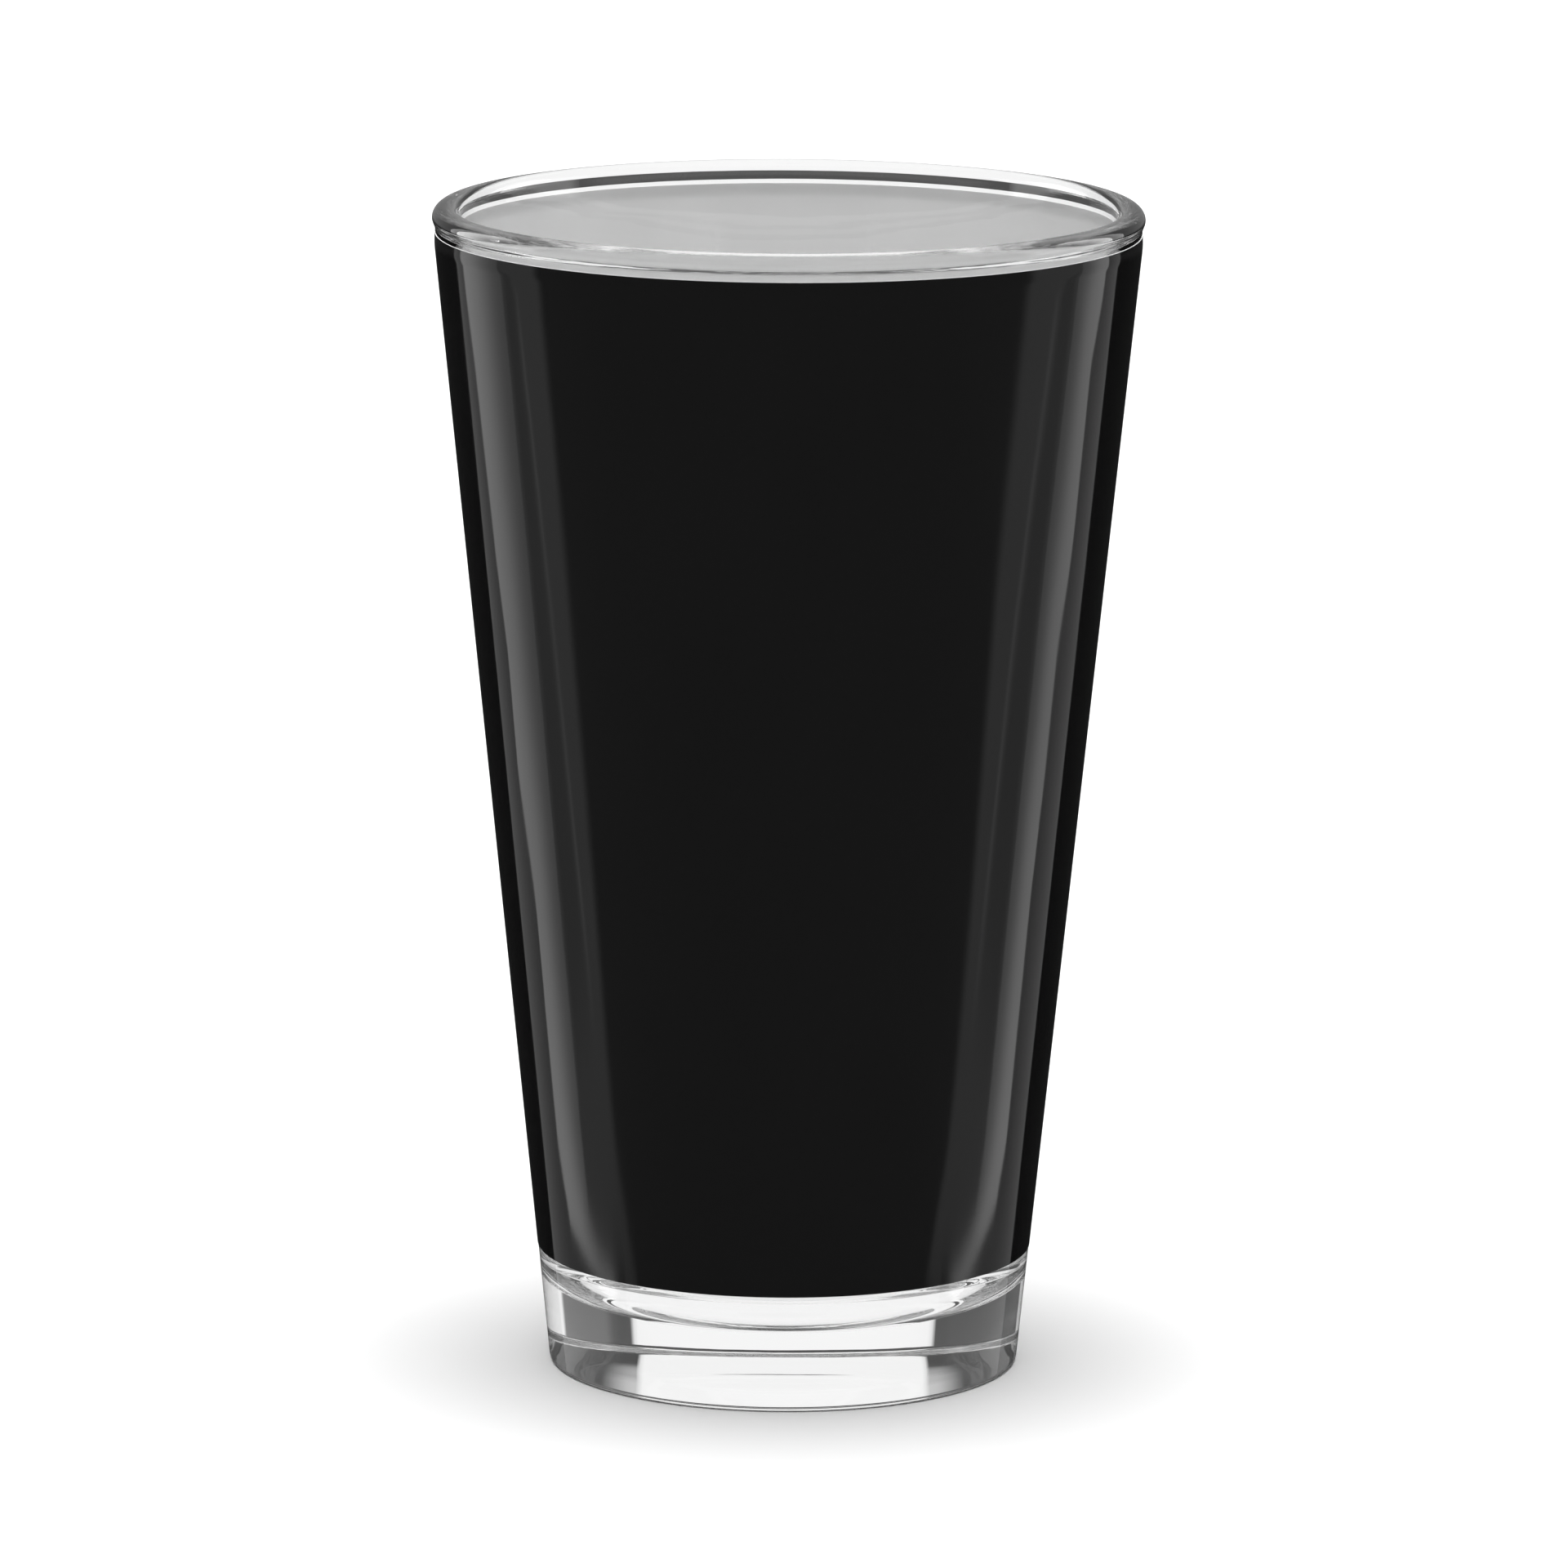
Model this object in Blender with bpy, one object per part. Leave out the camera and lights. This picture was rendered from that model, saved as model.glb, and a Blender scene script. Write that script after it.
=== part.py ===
"""Conical pint glass with a wrap-round printed coat, in metres, +Z up.

The origin is at the centre of the foot, on the plane the glass stands on, and Z is the axis of revolution.
Three separate pieces sit one inside the other:

    glass_tumbler    the clear pressed-glass tumbler: thick base, tapered wall, rounded rim
    white_undercoat  the white ink film on the outside of the wall, seen as pale grey from inside
    black_print_coat the black ink film over it, the colour of the glass from outside

The profiles are turned about Z. Every radius follows from the driving dimensions below.
"""

import math

import bmesh
import bpy

MM = 0.001

# --- driving dimensions: the tumbler ------------------------------------------------------------
HEIGHT = 147.56 * MM  # foot to top of rim
SEGMENTS = 72  # steps round the axis

WALL_FOOT_RADIUS = 29.64 * MM  # the outer cone carried down to the plane of the foot
WALL_TAPER = 0.1015  # growth of the outer radius for each unit of height, a 6 degree flare

RIM_RADIUS = 44.50 * MM  # the bead of the rim at its widest
RIM_WIDEST_Z = 146.00 * MM
NECK_Z = 144.75 * MM  # the shallow groove below the bead
NECK_DEPTH = 0.195 * MM
NECK_START_Z = 142.40 * MM  # where the wall leaves its straight cone

INNER_TOP_RADIUS = 41.04 * MM  # inside of the bead
INNER_TAPER = 0.1140  # the inside flares a little more, so the wall is thicker at the foot
CORNER_WIDTH = 13.0 * MM  # half axes of the quarter ellipse between the inside floor and the wall
CORNER_HEIGHT = 8.1 * MM
FLOOR_Z = 8.36 * MM  # inside floor at the corner
FLOOR_DISH = 0.15 * MM  # the floor is this much lower in the middle

HEEL_RADIUS = 0.8 * MM  # outside edge of the base
FOOT_INNER_RADIUS = 10.9 * MM  # the glass stands on the flat ring outside this
FOOT_RISE_WIDTH = 2.4 * MM
RECESS_DEPTH = 0.05 * MM  # the round mark of the mould's valve, a little higher than the ring

# --- driving dimensions: the print --------------------------------------------------------------
PRINT_TOP_Z = 144.19 * MM  # the black film ends here, just below the bead
PRINT_BOTTOM_Z = 15.05 * MM  # and both films end here, above the clear base
PEEK = 0.07 * MM  # the white film shows this much above the black
FILM = 0.030 * MM  # thickness of each ink film
FILM_GAP = 0.015 * MM  # clearance between neighbouring solids


def arc(centre, radius, start, end, steps):
    """Points on an arc in the (radius, height) plane, both ends included; angles in degrees."""
    points = []
    for i in range(steps + 1):
        a = math.radians(start + (end - start) * i / steps)
        points.append((centre[0] + radius * math.cos(a), centre[1] + radius * math.sin(a)))
    return points


def hermite(t, y0, m0, y1, m1):
    """Cubic between y0 and y1 at t from 0 to 1, with end slopes m0 and m1 in units of t."""
    a, b = t * t * (3 - 2 * t), t * t * (t - 1)
    return y0 * (1 - a) + m0 * t * (1 - t) ** 2 + y1 * a + m1 * b


def cone(z):
    """Outer radius of the straight wall at a height."""
    return WALL_FOOT_RADIUS + WALL_TAPER * z


def outer_radius(z):
    """Outer radius of the glass from the top of the heel to the widest part of the rim."""
    if z <= NECK_START_Z:
        return cone(z)
    if z <= NECK_Z:
        t = (z - NECK_START_Z) / (NECK_Z - NECK_START_Z)
        return cone(z) + hermite(t, 0.0, 0.0, -NECK_DEPTH, 0.0)
    span = RIM_WIDEST_Z - NECK_Z
    t = (z - NECK_Z) / span
    bead = RIM_RADIUS - cone(RIM_WIDEST_Z)
    return cone(z) + hermite(t, -NECK_DEPTH, 0.0, bead, -WALL_TAPER * span)


def inner_radius(z):
    """Inner radius of the straight inside wall at a height."""
    return INNER_TOP_RADIUS - INNER_TAPER * (RIM_WIDEST_Z - z)


def between(z0, z1, steps):
    return [z0 + (z1 - z0) * i / steps for i in range(steps + 1)]


def cavity_profile():
    """Middle of the inside floor, round the corner and up the inside wall to the bead."""
    turn = math.atan2(CORNER_WIDTH, CORNER_HEIGHT * INNER_TAPER)  # where the ellipse meets the slope of the wall
    end_z = FLOOR_Z + CORNER_HEIGHT * (1 - math.cos(turn))
    flat_r = inner_radius(end_z) - CORNER_WIDTH * math.sin(turn)
    points = []
    for share in (0.0, 0.35, 0.7):
        points.append((flat_r * share, FLOOR_Z - FLOOR_DISH * (1 - share**2) ** 2))
    steps = 9
    for i in range(steps + 1):
        t = turn * i / steps
        points.append((flat_r + CORNER_WIDTH * math.sin(t), FLOOR_Z + CORNER_HEIGHT * (1 - math.cos(t))))
    return points


def rim_profile():
    """Over the bead, from the inside wall to the widest point outside."""
    middle = (RIM_RADIUS + INNER_TOP_RADIUS) / 2
    half = (RIM_RADIUS - INNER_TOP_RADIUS) / 2
    rise = HEIGHT - RIM_WIDEST_Z
    start = math.pi - math.atan(INNER_TAPER * rise / half)
    steps = 12
    points = []
    for i in range(steps + 1):
        a = start * (1 - i / steps)
        points.append((middle + half * math.cos(a), RIM_WIDEST_Z + rise * math.sin(a)))
    return points


def outside_profile():
    """From under the bead down the neck and the wall, round the heel to the foot."""
    points = [(outer_radius(z), z) for z in between(RIM_WIDEST_Z, NECK_Z, 4)[1:]]
    points += [(outer_radius(z), z) for z in between(NECK_Z, NECK_START_Z, 3)[1:]]
    flare = math.sqrt(1 + WALL_TAPER**2)
    centre = (cone(HEEL_RADIUS) - HEEL_RADIUS * flare, HEEL_RADIUS)
    tilt = math.degrees(math.atan(WALL_TAPER))
    return points + arc(centre, HEEL_RADIUS, -tilt, -90.0, 5)


def underside_profile():
    """From the flat foot ring over the edge of the valve mark to the middle."""
    points = [(FOOT_INNER_RADIUS, 0.0)]
    for share in (0.25, 0.5, 0.75, 1.0):
        lift = share * share * (3 - 2 * share)
        points.append((FOOT_INNER_RADIUS - FOOT_RISE_WIDTH * share, RECESS_DEPTH * lift))
    points.append((0.0, RECESS_DEPTH))
    return points


def film_profile(offset, bottom, top):
    """Closed outline of one ink film that follows the wall at a distance."""
    heights = [bottom] + between(NECK_START_Z, top, 3)
    inside = [(outer_radius(z) + offset, z) for z in heights]
    outside = [(outer_radius(z) + offset + FILM, z) for z in reversed(heights)]
    return inside + outside


def turned(name, profile, closed, material, parent):
    """One closed solid of revolution about Z from a profile of (radius, height) points."""
    mesh = bpy.data.meshes.new(name)
    bm = bmesh.new()
    verts = [bm.verts.new((r, 0.0, z)) for r, z in profile]
    edges = [bm.edges.new(pair) for pair in zip(verts, verts[1:])]
    if closed:
        edges.append(bm.edges.new((verts[-1], verts[0])))
    bmesh.ops.spin(
        bm,
        geom=verts + edges,
        cent=(0.0, 0.0, 0.0),
        axis=(0.0, 0.0, 1.0),
        dvec=(0.0, 0.0, 0.0),
        angle=2 * math.pi,
        steps=SEGMENTS,
        use_merge=True,
        use_duplicate=False,
    )
    bmesh.ops.remove_doubles(bm, verts=bm.verts, dist=0.001 * MM)
    bmesh.ops.dissolve_degenerate(bm, edges=bm.edges, dist=0.0001 * MM)
    bmesh.ops.recalc_face_normals(bm, faces=bm.faces)
    bm.to_mesh(mesh)
    bm.free()
    mesh.shade_smooth()
    mesh.set_sharp_from_angle(angle=math.radians(40))
    mesh.materials.append(material)
    obj = bpy.data.objects.new(name, mesh)
    bpy.context.scene.collection.objects.link(obj)
    obj.parent = parent
    return obj


def principled(name, colour, roughness, transmission=0.0, ior=1.5):
    material = bpy.data.materials.new(name)
    material.use_nodes = True
    shader = material.node_tree.nodes["Principled BSDF"]
    shader.inputs["Base Color"].default_value = (*colour, 1.0)
    shader.inputs["Roughness"].default_value = roughness
    shader.inputs["Metallic"].default_value = 0.0
    shader.inputs["IOR"].default_value = ior
    shader.inputs["Transmission Weight"].default_value = transmission
    return material


def main():
    for obj in list(bpy.data.objects):
        bpy.data.objects.remove(obj, do_unlink=True)

    stand = bpy.data.objects.new("pint_glass", None)
    bpy.context.scene.collection.objects.link(stand)

    clear_glass = principled("clear_glass", (0.97, 0.98, 0.98), 0.0, 1.0, 1.52)
    white_ink = principled("white_ink", (0.72, 0.72, 0.72), 0.45)
    black_ink = principled("black_ink", (0.008, 0.008, 0.008), 0.08)

    glass = cavity_profile() + rim_profile() + outside_profile() + underside_profile()
    turned("glass_tumbler", glass, False, clear_glass, stand)

    white = film_profile(FILM_GAP, PRINT_BOTTOM_Z, PRINT_TOP_Z + PEEK)
    turned("white_undercoat", white, True, white_ink, stand)

    black = film_profile(2 * FILM_GAP + FILM, PRINT_BOTTOM_Z, PRINT_TOP_Z)
    turned("black_print_coat", black, True, black_ink, stand)


main()
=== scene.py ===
import math

import bmesh
import bpy
from mathutils import Matrix, Vector


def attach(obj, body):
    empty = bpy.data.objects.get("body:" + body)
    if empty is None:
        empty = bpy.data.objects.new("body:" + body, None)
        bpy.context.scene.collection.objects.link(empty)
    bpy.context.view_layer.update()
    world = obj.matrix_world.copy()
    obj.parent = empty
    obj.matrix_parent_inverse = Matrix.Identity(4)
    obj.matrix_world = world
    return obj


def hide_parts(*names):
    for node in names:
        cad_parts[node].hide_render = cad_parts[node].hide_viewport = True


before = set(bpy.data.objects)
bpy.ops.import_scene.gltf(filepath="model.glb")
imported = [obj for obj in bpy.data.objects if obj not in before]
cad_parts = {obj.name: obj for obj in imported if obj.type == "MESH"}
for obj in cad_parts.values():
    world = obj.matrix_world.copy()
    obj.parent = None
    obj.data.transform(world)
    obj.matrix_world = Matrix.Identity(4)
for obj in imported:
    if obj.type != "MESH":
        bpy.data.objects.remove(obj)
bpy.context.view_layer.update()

MM = 0.001
SEGMENTS = 240

# ------------------------------------------------------------------------------------------------
# Dimensions of the glass, as in the CAD
# ------------------------------------------------------------------------------------------------
HEIGHT = 147.558 * MM
WALL_FOOT_RADIUS = 29.64 * MM
WALL_TAPER = 0.1015
RIM_RADIUS = 44.50 * MM
RIM_WIDEST_Z = 146.00 * MM
NECK_Z = 144.75 * MM
NECK_DEPTH = 0.195 * MM
NECK_START_Z = 142.40 * MM
INNER_TOP_RADIUS = 41.04 * MM
INNER_TAPER = 0.1140
CORNER_WIDTH = 13.0 * MM
CORNER_HEIGHT = 8.1 * MM
FLOOR_Z = 8.36 * MM
FLOOR_DISH = 0.15 * MM
HEEL_RADIUS = 0.8 * MM
FOOT_INNER_RADIUS = 10.9 * MM
FOOT_RISE_WIDTH = 2.4 * MM
RECESS_DEPTH = 0.05 * MM
PRINT_TOP_Z = 144.19 * MM
PRINT_BOTTOM_Z = 15.05 * MM
PEEK = 0.07 * MM
FILM = 0.030 * MM
FILM_GAP = 0.008 * MM

RIPPLE = 0.008 * MM
RIM_LINES = 0.004 * MM
PEEL = 0.006 * MM


# ------------------------------------------------------------------------------------------------
# Profiles, in (radius, height)
# ------------------------------------------------------------------------------------------------
def arc(centre, radius, start, end, steps):
    points = []
    for i in range(steps + 1):
        a = math.radians(start + (end - start) * i / steps)
        points.append((centre[0] + radius * math.cos(a), centre[1] + radius * math.sin(a)))
    return points


def hermite(t, y0, m0, y1, m1):
    a, b = t * t * (3 - 2 * t), t * t * (t - 1)
    return y0 * (1 - a) + m0 * t * (1 - t) ** 2 + y1 * a + m1 * b


def cone(z):
    return WALL_FOOT_RADIUS + WALL_TAPER * z


def outer_radius(z):
    if z <= NECK_START_Z:
        return cone(z)
    if z <= NECK_Z:
        t = (z - NECK_START_Z) / (NECK_Z - NECK_START_Z)
        return cone(z) + hermite(t, 0.0, 0.0, -NECK_DEPTH, 0.0)
    span = RIM_WIDEST_Z - NECK_Z
    t = (z - NECK_Z) / span
    bead = RIM_RADIUS - cone(RIM_WIDEST_Z)
    return cone(z) + hermite(t, -NECK_DEPTH, 0.0, bead, -WALL_TAPER * span)


def inner_radius(z):
    return INNER_TOP_RADIUS - INNER_TAPER * (RIM_WIDEST_Z - z)


def between(z0, z1, steps):
    return [z0 + (z1 - z0) * i / steps for i in range(steps + 1)]


def cavity_profile():
    turn = math.atan2(CORNER_WIDTH, CORNER_HEIGHT * INNER_TAPER)
    low = FLOOR_Z + CORNER_HEIGHT * (1 - math.cos(turn))
    flat = inner_radius(low) - CORNER_WIDTH * math.sin(turn)
    points = []
    for i in range(14):
        share = i / 14
        points.append((flat * share, FLOOR_Z - FLOOR_DISH * (1 - share**2) ** 2))
    for i in range(37):
        t = turn * i / 36
        points.append((flat + CORNER_WIDTH * math.sin(t), FLOOR_Z + CORNER_HEIGHT * (1 - math.cos(t))))
    points += [(inner_radius(z), z) for z in between(low, RIM_WIDEST_Z, 24)[1:-1]]
    return points


def rim_profile():
    middle = (RIM_RADIUS + INNER_TOP_RADIUS) / 2
    half = (RIM_RADIUS - INNER_TOP_RADIUS) / 2
    rise = HEIGHT - RIM_WIDEST_Z
    start = math.pi - math.atan(INNER_TAPER * rise / half)
    steps = 40
    points = []
    for i in range(steps + 1):
        a = start * (1 - i / steps)
        points.append((middle + half * math.cos(a), RIM_WIDEST_Z + rise * math.sin(a)))
    return points


def outside_profile():
    points = [(outer_radius(z), z) for z in between(RIM_WIDEST_Z, NECK_Z, 16)[1:]]
    points += [(outer_radius(z), z) for z in between(NECK_Z, NECK_START_Z, 12)[1:]]
    flare = math.sqrt(1 + WALL_TAPER**2)
    centre = (cone(HEEL_RADIUS) - HEEL_RADIUS * flare, HEEL_RADIUS)
    tilt = math.degrees(math.atan(WALL_TAPER))
    heel = arc(centre, HEEL_RADIUS, -tilt, -90.0, 20)
    points += [(cone(z), z) for z in between(NECK_START_Z, heel[0][1], 24)[1:-1]]
    return points + heel


def underside_profile():
    points = [(FOOT_INNER_RADIUS, 0.0)]
    for i in range(1, 17):
        share = i / 16
        lift = share * share * (3 - 2 * share)
        points.append((FOOT_INNER_RADIUS - FOOT_RISE_WIDTH * share, RECESS_DEPTH * lift))
    rest = FOOT_INNER_RADIUS - FOOT_RISE_WIDTH
    points += [(rest * 0.75, RECESS_DEPTH), (rest * 0.5, RECESS_DEPTH), (rest * 0.25, RECESS_DEPTH), (0.0, RECESS_DEPTH)]
    return points


def film_profile(layer, bottom, top):
    """Outline of one ink film, a hair's breadth off the layer beneath it."""
    heights = between(bottom, NECK_START_Z, 60) + between(NECK_START_Z, top, 12)[1:]
    start = FILM_GAP + layer * (FILM + FILM_GAP)
    inside = [(outer_radius(z) + start, z) for z in heights]
    outside = [(outer_radius(z) + start + FILM, z) for z in reversed(heights)]
    return inside + outside


def turned(name, profile, closed):
    """A solid of revolution about Z, as one closed smooth mesh."""
    mesh = bpy.data.meshes.new(name)
    bm = bmesh.new()
    rings = []
    for r, z in profile:
        if r < 1e-9:
            rings.append([bm.verts.new((0.0, 0.0, z))])
        else:
            rings.append(
                [
                    bm.verts.new((r * math.cos(2 * math.pi * i / SEGMENTS), r * math.sin(2 * math.pi * i / SEGMENTS), z))
                    for i in range(SEGMENTS)
                ]
            )
    pairs = list(zip(rings, rings[1:]))
    if closed:
        pairs.append((rings[-1], rings[0]))
    for a, b in pairs:
        for i in range(SEGMENTS):
            j = (i + 1) % SEGMENTS
            corners = [a[i % len(a)], a[j % len(a)], b[j % len(b)], b[i % len(b)]]
            unique = []
            for v in corners:
                if v not in unique:
                    unique.append(v)
            bm.faces.new(unique)
    bmesh.ops.recalc_face_normals(bm, faces=bm.faces)
    bm.to_mesh(mesh)
    bm.free()
    mesh.shade_smooth()
    mesh.set_sharp_from_angle(angle=math.radians(35))
    obj = bpy.data.objects.new(name, mesh)
    bpy.context.scene.collection.objects.link(obj)
    return obj


# ------------------------------------------------------------------------------------------------
# Materials
# ------------------------------------------------------------------------------------------------
def new_material(name):
    m = bpy.data.materials.new(name)
    m.use_nodes = True
    t = m.node_tree
    return m, t, t.nodes["Principled BSDF"]


def node(t, kind, **inputs):
    n = t.nodes.new(kind)
    for k, v in inputs.items():
        n.inputs[k.replace("_", " ")].default_value = v
    return n


def place(t, stretch):
    """Object coordinates with their own scale along each axis."""
    c = t.nodes.new("ShaderNodeTexCoord")
    m = t.nodes.new("ShaderNodeMapping")
    m.inputs["Scale"].default_value = stretch
    t.links.new(c.outputs["Object"], m.inputs["Vector"])
    return m.outputs["Vector"]


def noise(t, vector, scale, detail, roughness=0.5):
    n = node(t, "ShaderNodeTexNoise", Scale=scale, Detail=detail, Roughness=roughness)
    t.links.new(vector, n.inputs["Vector"])
    return n.outputs["Fac"]


def span(t, value, low, high, out_low, out_high):
    """A value mapped from one range to another."""
    m = node(t, "ShaderNodeMapRange", From_Min=low, From_Max=high, To_Min=out_low, To_Max=out_high)
    t.links.new(value, m.inputs["Value"])
    return m.outputs["Result"]


def mixed(t, value, a, b):
    m = t.nodes.new("ShaderNodeMix")
    m.data_type = "RGBA"
    m.inputs["A"].default_value = a
    m.inputs["B"].default_value = b
    t.links.new(value, m.inputs["Factor"])
    return m.outputs["Result"]


def bump(t, height, distance, strength=1.0, under=None):
    b = node(t, "ShaderNodeBump", Distance=distance, Strength=strength)
    t.links.new(height, b.inputs["Height"])
    if under is not None:
        t.links.new(under, b.inputs["Normal"])
    return b.outputs["Normal"]


def math_node(t, operation, a, b=None):
    n = t.nodes.new("ShaderNodeMath")
    n.operation = operation
    for socket, value in zip(n.inputs, (a, b)):
        if isinstance(value, (int, float)):
            socket.default_value = value
        elif value is not None:
            t.links.new(value, socket)
    return n.outputs[0]


def rim_lines(t):
    """Height of the fine polishing lines that run along the bead of the rim."""
    split = t.nodes.new("ShaderNodeSeparateXYZ")
    t.links.new(place(t, (1, 1, 1)), split.inputs[0])
    x, y, z = split.outputs
    radius = math_node(t, "SQRT", math_node(t, "ADD", math_node(t, "MULTIPLY", x, x), math_node(t, "MULTIPLY", y, y)))
    along = math_node(t, "MULTIPLY", math_node(t, "ARCTAN2", y, x), 0.0012)
    join = t.nodes.new("ShaderNodeCombineXYZ")
    for socket, value in zip(join.inputs, (radius, along, z)):
        t.links.new(value, socket)
    return math_node(t, "MULTIPLY", noise(t, join.outputs[0], 1900, 3), span(t, z, 0.1432, 0.1442, 0.0, 1.0))


def glass_material():
    """Clear pressed glass: faint drawn-out ripples that run round the piece, and a trace of handling haze."""
    m, t, p = new_material("clear_glass")
    p.inputs["IOR"].default_value = 1.52
    p.inputs["Transmission Weight"].default_value = 1.0
    haze = noise(t, place(t, (1, 1, 1)), 45, 3)
    t.links.new(mixed(t, haze, (0.990, 0.992, 0.991, 1), (0.997, 0.998, 0.998, 1)), p.inputs["Base Color"])
    t.links.new(span(t, haze, 0.45, 0.75, 0.0, 0.012), p.inputs["Roughness"])
    broad = bump(t, noise(t, place(t, (1, 1, 5)), 60, 1), RIPPLE)
    fine = bump(t, noise(t, place(t, (1, 1, 9)), 150, 2), RIPPLE * 0.1, under=broad)
    t.links.new(bump(t, rim_lines(t), RIM_LINES, under=fine), p.inputs["Normal"])
    return m


def white_ink():
    """Satin white undercoat, a little uneven in cover."""
    m, t, p = new_material("white_ink")
    cover = noise(t, place(t, (1, 1, 0.6)), 55, 4)
    t.links.new(mixed(t, span(t, cover, 0.35, 0.65, 0.0, 1.0), (0.80, 0.80, 0.80, 1), (0.845, 0.845, 0.845, 1)), p.inputs["Base Color"])
    grain = noise(t, place(t, (1, 1, 1)), 2600, 2)
    t.links.new(span(t, grain, 0.3, 0.7, 0.45, 0.6), p.inputs["Roughness"])
    t.links.new(bump(t, grain, 0.000004), p.inputs["Normal"])
    return m


def black_ink():
    """Deep gloss black, with the slight orange peel and pinhole grain of a sprayed and fired coat."""
    m, t, p = new_material("black_ink")
    p.inputs["IOR"].default_value = 1.5
    cloud = noise(t, place(t, (1, 1, 0.5)), 70, 4)
    t.links.new(mixed(t, cloud, (0.0024, 0.0024, 0.0024, 1), (0.0038, 0.0038, 0.0038, 1)), p.inputs["Base Color"])
    t.links.new(span(t, cloud, 0.35, 0.65, 0.035, 0.065), p.inputs["Roughness"])
    peel = noise(t, place(t, (1, 1, 0.45)), 190, 2)
    grain = noise(t, place(t, (1, 1, 1)), 2200, 1)
    t.links.new(bump(t, grain, 0.0000004, under=bump(t, peel, PEEL)), p.inputs["Normal"])
    return m


# ------------------------------------------------------------------------------------------------
# The three pieces
# ------------------------------------------------------------------------------------------------
glass = turned("pressed_glass_tumbler", cavity_profile() + rim_profile() + outside_profile() + underside_profile(), False)
glass.data.materials.append(glass_material())
white = turned("printed_white_undercoat", film_profile(0, PRINT_BOTTOM_Z, PRINT_TOP_Z + PEEK), True)
white.data.materials.append(white_ink())
black = turned("printed_black_coat", film_profile(1, PRINT_BOTTOM_Z, PRINT_TOP_Z), True)
black.data.materials.append(black_ink())

for piece, cad_node, slot in (
    (glass, "glass_tumbler", "clear_glass"),
    (white, "white_undercoat", "white_ink"),
    (black, "black_print_coat", "black_ink"),
):
    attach(piece, "root")
    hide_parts(cad_node)


# ------------------------------------------------------------------------------------------------
# Stage: floor, studio cards and lights
# ------------------------------------------------------------------------------------------------
def seen_by(obj, camera=False, diffuse=False, glossy=False, transmission=False, shadow=False):
    obj.visible_camera = camera
    obj.visible_diffuse = diffuse
    obj.visible_glossy = glossy
    obj.visible_transmission = transmission
    obj.visible_volume_scatter = False
    obj.visible_shadow = shadow


def rise(x, a, b):
    """Smooth step from 0 at a to 1 at b."""
    t = min(max((x - a) / (b - a), 0.0), 1.0)
    return t * t * (3 - 2 * t)


def follow(points, x):
    """Straight-line interpolation through (x, y) points in rising x, level beyond both ends."""
    if x <= points[0][0]:
        return points[0][1]
    for (x0, y0), (x1, y1) in zip(points, points[1:]):
        if x <= x1:
            return y0 + (y1 - y0) * (x - x0) / (x1 - x0)
    return points[-1][1]


def glow_material():
    """Emission with the strength stored at each point of the card."""
    m = bpy.data.materials.new("studio_glow")
    m.use_nodes = True
    t = m.node_tree
    t.nodes.clear()
    out = t.nodes.new("ShaderNodeOutputMaterial")
    e = t.nodes.new("ShaderNodeEmission")
    a = t.nodes.new("ShaderNodeAttribute")
    a.attribute_name = "glow"
    t.links.new(a.outputs["Fac"], e.inputs["Strength"])
    t.links.new(e.outputs[0], out.inputs["Surface"])
    m.cycles.emission_sampling = "NONE"
    return m


GLOW = glow_material()


def card(name, rows, **seen):
    """A curved card from rows of (x, y, z, glow) points."""
    mesh = bpy.data.meshes.new(name)
    width = len(rows[0])
    verts = [p[:3] for row in rows for p in row]
    faces = []
    for i in range(len(rows) - 1):
        for j in range(width - 1):
            k = i * width + j
            faces.append((k, k + 1, k + width + 1, k + width))
    mesh.from_pydata(verts, [], faces)
    attribute = mesh.attributes.new("glow", "FLOAT", "POINT")
    attribute.data.foreach_set("value", [p[3] for row in rows for p in row])
    mesh.materials.append(GLOW)
    obj = bpy.data.objects.new(name, mesh)
    bpy.context.scene.collection.objects.link(obj)
    seen_by(obj, **seen)
    return obj


def steps(a, b, n):
    return [a + (b - a) * i / n for i in range(n + 1)]


def around(azimuth, radius, z, glow):
    """A point round the glass; azimuth in degrees from the camera's side (0), to the right (90)."""
    a = math.radians(azimuth)
    return (radius * math.sin(a), -radius * math.cos(a), z, glow)


# the floor, as the camera and the light see it
def floor_material():
    m, t, p = new_material("pale_floor")
    p.inputs["Base Color"].default_value = (0.9, 0.9, 0.9, 1)
    p.inputs["Roughness"].default_value = 0.9
    p.inputs["Specular IOR Level"].default_value = 0.0
    return m


def floor_disc():
    mesh = bpy.data.meshes.new("floor")
    bm = bmesh.new()
    bmesh.ops.create_circle(bm, cap_ends=True, radius=14.0, segments=96, matrix=Matrix.Translation((0, 0, -0.00003)))
    bm.to_mesh(mesh)
    bm.free()
    mesh.materials.append(floor_material())
    obj = bpy.data.objects.new("floor", mesh)
    bpy.context.scene.collection.objects.link(obj)
    return obj


floor = floor_disc()
seen_by(floor, camera=True, diffuse=True, shadow=True)

world = bpy.data.worlds.new("studio")
bpy.context.scene.world = world
world.use_nodes = True
world.node_tree.nodes["Background"].inputs["Color"].default_value = (1, 1, 1, 1)
world.node_tree.nodes["Background"].inputs["Strength"].default_value = 1.1
world.cycles_visibility.diffuse = False
world.cycles_visibility.glossy = False
world.cycles_visibility.transmission = False


def overhead(name, spread, strength):
    """A wide soft light from straight above."""
    lamp = bpy.data.lights.new(name, "SUN")
    lamp.angle = math.radians(spread)
    lamp.energy = strength * math.pi
    obj = bpy.data.objects.new(name, lamp)
    obj.location = (0, 0, 2)
    bpy.context.scene.collection.objects.link(obj)
    obj.visible_camera = False
    obj.visible_glossy = False
    obj.visible_transmission = False
    return obj


def group(name, objects):
    collection = bpy.data.collections.new(name)
    for obj in objects:
        collection.objects.link(obj)
    return collection


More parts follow.
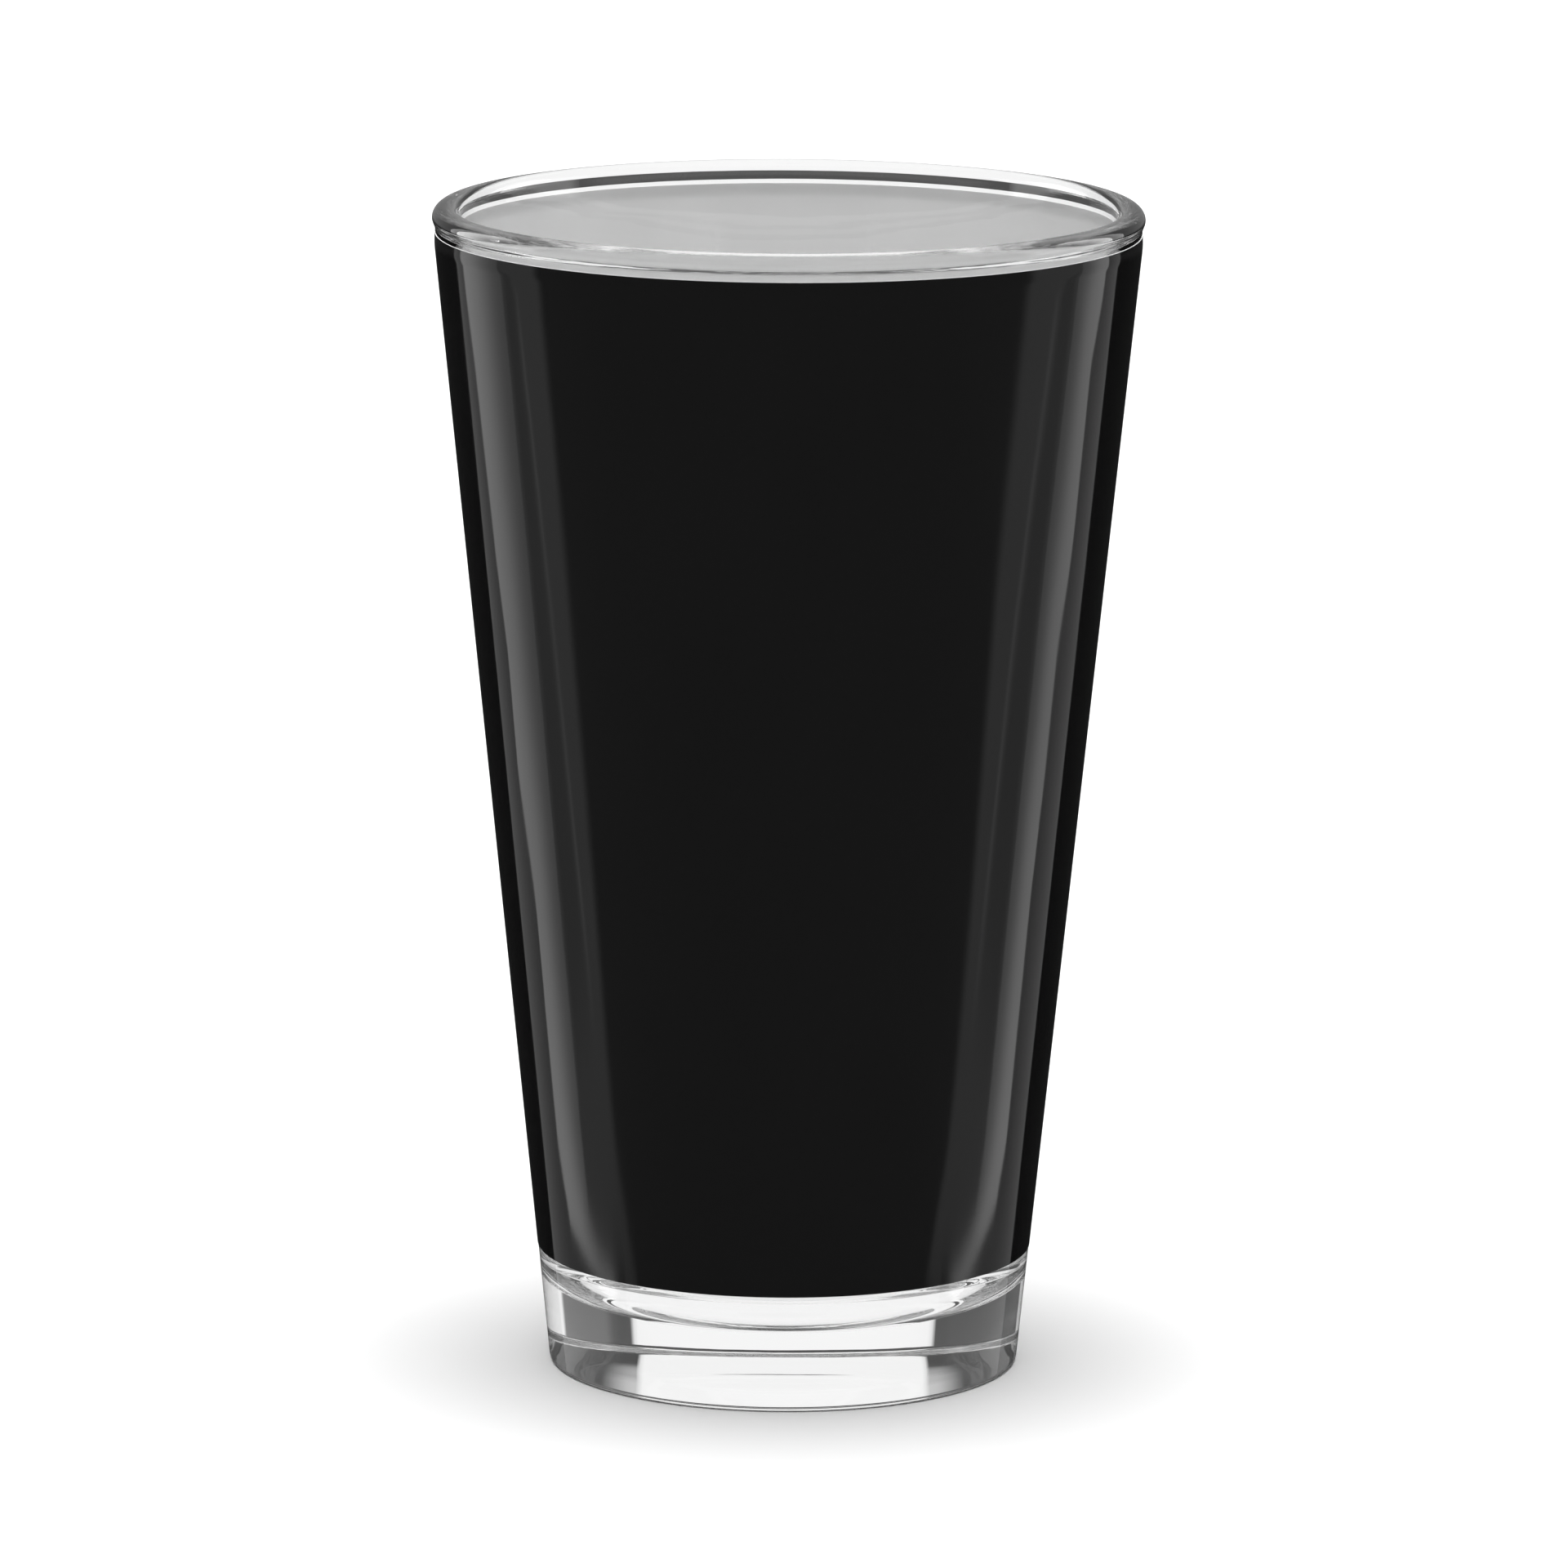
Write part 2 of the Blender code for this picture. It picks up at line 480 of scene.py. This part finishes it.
overhead("overhead_key", 30, 0.93)
overhead("overhead_fill", 60, 0.58)

# light that comes in at the mouth and through the clear wall to the ink behind it
mouth = overhead("mouth_light", 70, 2.55)
mouth.light_linking.receiver_collection = group("mouth_light_on", [white])
mouth.light_linking.blocker_collection = group("mouth_light_stopped_by", [white, black])

# --- what the clear glass looks out on -----------------------------------------------------------
DARK = 0.075
WALL = 28.3


def surround(azimuth, elevation):
    back = 180.0 - abs(azimuth)
    behind = 1 - rise(back, WALL - 0.6, WALL + 0.6)
    wall = behind * max(rise(elevation, 9.1, 9.9) * (1 - rise(elevation, 44, 52)), 1 - rise(elevation, -6.1, -5.3))
    wings = (1 - rise(back, WALL, 44)) * rise(elevation, 9, 11) * (1 - rise(elevation, 13.5, 15.5))
    edge = 57.0 if azimuth > 0 else 74.0
    panel = rise(back, edge - 1, edge + 1) * (1 - rise(back, 95, 99)) * (1 - rise(elevation, 4, 9))
    front = rise(back, 100, 116) * max(rise(elevation, 6, 14) * (1 - rise(elevation, 24, 32)), 1 - rise(elevation, -8, -4))
    ground = 1 - rise(elevation, -16, -12)
    shade = DARK
    if azimuth > 0:
        shade += 0.08 * rise(back, 33, 37) * (1 - rise(elevation, 6, 10))
    return max(shade, 0.97 * wall, 0.6 * wings, 1.0 * panel, 0.75 * front, 0.97 * ground)


def surround_rows():
    rows = []
    for e in steps(-89, 89, 356):
        r = 6.0 * math.cos(math.radians(e))
        z = 6.0 * math.sin(math.radians(e))
        rows.append([around(a, r, z, surround(a, e)) for a in steps(-180, 180, 360)])
    return rows


card("surround", surround_rows(), transmission=True)
card("floor_under_glass", [[around(a, r, -0.00002, 0.97) for a in steps(-180, 180, 90)] for r in steps(0.0001, 0.0312, 4)], transmission=True)

# --- what the gloss of the coat mirrors ------------------------------------------------------------
# Each side has a tall softbox with a bright edge, a dimmer return behind it and a wide dim reflector in front.
# Outlines are azimuths in degrees at heights in metres, on a cylinder of 1 m; the light's lower end curves to the front.
LEFT = dict(
    side=-1,
    back=137.1,
    outer=[(-0.386, 86.5), (-0.371, 94.0), (-0.354, 102.5), (-0.339, 109.2), (-0.322, 116.4), (-0.295, 121.3), (-0.238, 121.3), (-0.202, 126.0), (-0.176, 125.0), (-0.150, 127.5), (-0.104, 129.6), (-0.084, 131.6)],
    inner=[(-0.386, 80.5), (-0.376, 86.5), (-0.367, 91.4), (-0.357, 96.0), (-0.342, 101.0), (-0.325, 101.9), (-0.265, 103.6), (-0.183, 105.3), (-0.121, 107.1)],
    front=[(-0.395, 72.1), (-0.386, 74.9), (-0.355, 79.2), (-0.295, 80.6), (-0.212, 83.4), (-0.149, 86.4)],
)
RIGHT = dict(
    side=1,
    back=134.5,
    outer=[(-0.386, 87.0), (-0.371, 94.3), (-0.357, 100.1), (-0.337, 108.0), (-0.321, 114.0), (-0.301, 117.5), (-0.244, 117.2), (-0.213, 118.7), (-0.185, 118.5), (-0.158, 122.0), (-0.115, 121.8), (-0.093, 125.4)],
    inner=[(-0.386, 80.0), (-0.378, 84.5), (-0.368, 89.8), (-0.358, 94.0), (-0.345, 98.6), (-0.326, 101.0), (-0.266, 102.6), (-0.183, 105.0), (-0.118, 108.6)],
    front=[(-0.397, 69.5), (-0.388, 72.2), (-0.358, 76.4), (-0.297, 78.3), (-0.218, 78.0), (-0.154, 81.5)],
)


def softbox(name, spec):
    heights = steps(0.90, 0.16, 8) + steps(0.14, -0.06, 20) + steps(-0.07, -0.29, 44) + steps(-0.292, -0.44, 74)
    rows = []
    for z in heights:
        outer, inner, front = follow(spec["outer"], z), follow(spec["inner"], z), follow(spec["front"], z)
        end = rise(z, -0.404, -0.390)
        lift = (1 + max(0.0, (-0.095 - z) / 0.295) ** 3) * rise(z, -0.386, -0.376)
        power = 1 + 3.5 * rise(z, 0.03, 0.12)
        row = []
        for t in steps(0, 1, 6):
            row.append((spec["back"] + (outer + 0.3 - spec["back"]) * t, 0.06 + (0.34 - 0.14 * t) * end))
        for t in steps(0, 1, 16):
            row.append((outer - 0.3 + (inner - outer + 0.6) * t, 0.14 + (1.01 - 0.55 * rise(t, 0.25, 1.0)) * lift))
        seam = 0.30 + 1.5 * (-0.10 - z)
        for t in steps(0, 1, 44):
            line = 0.22 * math.exp(-(((t - seam) / 0.028) ** 2)) * (1 - rise(z, -0.15, -0.12)) * rise(z, -0.33, -0.28)
            line -= 0.09 * rise(t, 0.02, 0.10) * (1 - rise(t, seam - 0.12, seam - 0.04)) * rise(z, -0.33, -0.28)
            row.append((inner - 0.3 + (front - inner + 0.3) * t, 0.14 + (0.22 + 0.12 * t - 0.33 * rise(t, 0.8, 1.0) + line) * end))
        rows.append([around(spec["side"] * a, 1.0, z, g * power) for a, g in row])
    card(name, rows, glossy=True)


softbox("left_softbox", LEFT)
softbox("right_softbox", RIGHT)


def fill(azimuth, elevation):
    behind = rise(abs(azimuth), 84, 100)
    low = 0.14 - 0.125 * behind
    low += (0.30 - low) * behind * rise(elevation, -3, 3)
    return low + (0.9 - low) * rise(elevation, 24, 40)


card(
    "room",
    [[around(a, 1.5 * math.cos(math.radians(e)), 1.5 * math.sin(math.radians(e)), fill(a, e)) for a in steps(-180, 180, 180)] for e in steps(-88, 88, 88)],
    glossy=True,
)

# ------------------------------------------------------------------------------------------------
# Camera
# ------------------------------------------------------------------------------------------------
camera = bpy.data.cameras.new("camera")
camera.sensor_width = 36.0
camera.lens = 13179.8 / 1920.0 * 36.0
camera.clip_start, camera.clip_end = 0.05, 100.0
cam = bpy.data.objects.new("camera", camera)
bpy.context.scene.collection.objects.link(cam)
yaw = math.atan(2.3257 / 13179.8)
cam.matrix_world = (
    Matrix.Translation((0.0, -1.331344, 0.332763))
    @ Matrix.Rotation(yaw, 4, "Z")
    @ Matrix.Rotation((math.pi / 2 - 0.1919813), 4, "X")
    @ Matrix.Rotation(0.0051494, 4, "Z")
)
bpy.context.scene.camera = cam

view = bpy.context.scene.view_settings
view.view_transform = "Standard"
view.look = "None"
cycles = bpy.context.scene.cycles
cycles.max_bounces = 72
cycles.transmission_bounces = 72
cycles.glossy_bounces = 64
cycles.diffuse_bounces = 6
cycles.use_denoising = True
